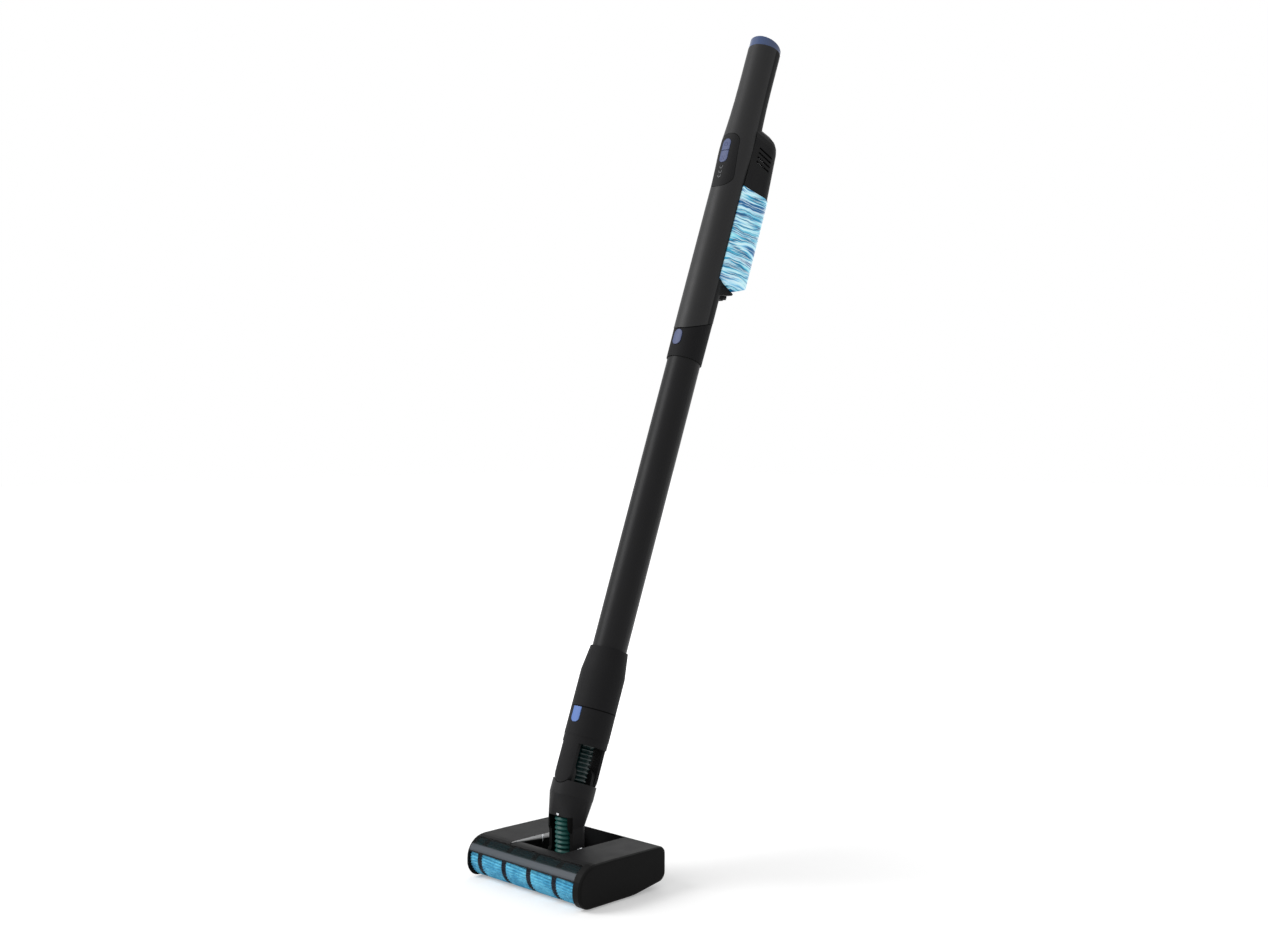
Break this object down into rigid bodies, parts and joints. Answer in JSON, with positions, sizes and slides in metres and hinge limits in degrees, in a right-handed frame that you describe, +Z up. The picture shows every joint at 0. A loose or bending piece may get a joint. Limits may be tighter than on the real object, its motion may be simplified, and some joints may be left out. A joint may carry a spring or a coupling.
{
  "type": "cordless stick vacuum",
  "caption": "Cordless stick vacuum with a plush roller head, two-way hinged neck, pull-apart wand and a slim hand unit that carries a removable dust cup.",
  "frame": {"origin": "on the floor, midway across the head and above the middle of its depth", "axes": "+Z up, -Y towards the roller side of the head, +X to the right of a viewer who faces the roller; the stick leans back towards +Y"},
  "size_m": [0.2, 0.4641, 1.0736],
  "materials": {
    "cover_plastic": "satin charcoal",
    "shell_plastic": "fine-grained near-black",
    "window_plastic": "smoke-tinted clear plastic",
    "plush": "short blue plush",
    "bristle": "dark nylon bristle",
    "roller_core_plastic": "moulded",
    "pulley_plastic": "acetal",
    "steel": "bright",
    "rubber": "matt black",
    "strip_felt": "grey felt",
    "hose_plastic": "dark green corrugated",
    "wand_metal": "satin black on aluminium",
    "blue_button": "slate blue",
    "bright_button": "sky blue",
    "cap_plastic": "blue",
    "light_lens": "clear lens",
    "board": "circuit board",
    "cell_wrap": "shrink wrap",
    "socket_plastic": "black",
    "cup_plastic": "clear tinted plastic",
    "filter_paper": "pleated paper",
    "mesh_metal": "fine mesh"
  },
  "bodies": {
    "head": {"base_shell": "shell_plastic", "top_cover": "cover_plastic", "left_end_cap": "shell_plastic", "right_end_cap": "shell_plastic", "front_window": "window_plastic", "roller_bearings": "steel", "drive_belt": "rubber", "brush_motor": "steel", "suction_duct": "shell_plastic", "wheel_axles": "steel", "mouth_strip": "strip_felt", "pitch_pins": "steel", "head_screws": "steel"},
    "roller": {"roller_core": "roller_core_plastic", "roller_plush": "plush", "bristle_rings": "bristle", "roller_pulley": "pulley_plastic"},
    "motor_shaft": {"motor_pulley": "steel"},
    "left_wheel": {"left_rear_wheel": "rubber"},
    "right_wheel": {"right_rear_wheel": "rubber"},
    "elbow": {"elbow_shell": "cover_plastic", "lower_hose": "hose_plastic", "knee_stud": "steel", "tilt_pins": "steel"},
    "neck": {"neck_tube": "cover_plastic", "upper_hose": "hose_plastic", "lower_button_spring": "steel"},
    "lower_button": {"lower_release_button": "blue_button"},
    "wand": {"wand_foot": "cover_plastic", "wand_tube": "wand_metal", "wand_collar": "cover_plastic", "neck_seal": "rubber", "upper_button_spring": "steel"},
    "upper_button": {"upper_release_button": "blue_button"},
    "hand_unit": {"nozzle_seal": "rubber", "inlet_pipe": "shell_plastic", "front_shell": "cover_plastic", "rear_tube_shell": "shell_plastic", "motor_housing": "shell_plastic", "rear_grip": "shell_plastic", "control_panel": "cover_plastic", "power_button_spring": "steel", "mode_button_spring": "steel", "indicator_lights": "light_lens", "circuit_board": "board", "fan_motor": "steel", "battery_cells": "cell_wrap", "battery_holder": "shell_plastic", "charge_socket": "socket_plastic", "end_cap": "cap_plastic", "grip_screws": "steel", "latch_spring": "steel"},
    "power_key": {"power_button": "blue_button"},
    "mode_key": {"mode_button": "bright_button"},
    "fan": {"impeller": "pulley_plastic"},
    "cup": {"dust_cup": "cup_plastic", "cup_gasket": "rubber", "dust_filter": "filter_paper", "mesh_screen": "mesh_metal"},
    "latch": {"cup_latch": "shell_plastic"}
  },
  "joints": [
    {"name": "roller_spin", "type": "hinge", "parent": "head", "child": "roller", "pos_m": [0, -0.0442, 0.0244], "axis": [1, 0, 0], "continuous": true},
    {"name": "motor_spin", "type": "hinge", "parent": "head", "child": "motor_shaft", "pos_m": [0, 0.0098, 0.027], "axis": [1, 0, 0], "continuous": true},
    {"name": "left_wheel_spin", "type": "hinge", "parent": "head", "child": "left_wheel", "pos_m": [-0.072, 0.053, 0.009], "axis": [1, 0, 0], "continuous": true},
    {"name": "right_wheel_spin", "type": "hinge", "parent": "head", "child": "right_wheel", "pos_m": [0.072, 0.053, 0.009], "axis": [1, 0, 0], "continuous": true},
    {"name": "neck_pitch", "type": "hinge", "parent": "head", "child": "elbow", "pos_m": [0, 0.002, 0.035], "axis": [-1, 0, 0], "range_deg": [-20.8, 43], "deforming": ["lower_hose"]},
    {"name": "neck_tilt", "type": "hinge", "parent": "elbow", "child": "neck", "pos_m": [0, 0.02019, 0.12654], "axis": [0, 0.9348, -0.3551], "range_deg": [-50, 50], "deforming": ["upper_hose"]},
    {"name": "lower_release_press", "type": "slide", "parent": "neck", "child": "lower_button", "axis": [0, 0.9348, -0.3551], "range_m": [0, 0.002], "stiffness_N_per_m": 600, "springref_m": -0.0005, "deforming": ["lower_button_spring"]},
    {"name": "wand_pull", "type": "slide", "parent": "neck", "child": "wand", "axis": [0, 0.3551, 0.9348], "range_m": [0, 0.04]},
    {"name": "upper_release_press", "type": "slide", "parent": "wand", "child": "upper_button", "axis": [0, 0.9348, -0.3551], "range_m": [0, 0.0015], "stiffness_N_per_m": 600, "springref_m": -0.0005, "deforming": ["upper_button_spring"]},
    {"name": "hand_unit_pull", "type": "slide", "parent": "wand", "child": "hand_unit", "axis": [0, 0.3551, 0.9348], "range_m": [0, 0.05]},
    {"name": "power_press", "type": "slide", "parent": "hand_unit", "child": "power_key", "axis": [0, 0.9348, -0.3551], "range_m": [0, 0.001], "stiffness_N_per_m": 500, "springref_m": -0.0005, "deforming": ["power_button_spring"]},
    {"name": "mode_press", "type": "slide", "parent": "hand_unit", "child": "mode_key", "axis": [0, 0.9348, -0.3551], "range_m": [0, 0.001], "stiffness_N_per_m": 500, "springref_m": -0.0005, "deforming": ["mode_button_spring"]},
    {"name": "fan_spin", "type": "hinge", "parent": "hand_unit", "child": "fan", "pos_m": [0, 0.33666, 0.87236], "axis": [0, 0.3551, 0.9348], "continuous": true},
    {"name": "cup_pull", "type": "slide", "parent": "hand_unit", "child": "cup", "axis": [0, 0.8926, -0.4509], "range_m": [0, 0.09]},
    {"name": "latch_press", "type": "slide", "parent": "hand_unit", "child": "latch", "axis": [0, -0.3551, -0.9348], "range_m": [0, 0.0025], "stiffness_N_per_m": 400, "springref_m": -0.0005, "deforming": ["latch_spring"]}
  ],
  "couplings": [
    {"joint": "motor_spin", "follows": "roller_spin", "ratio": 2.3333}
  ]
}
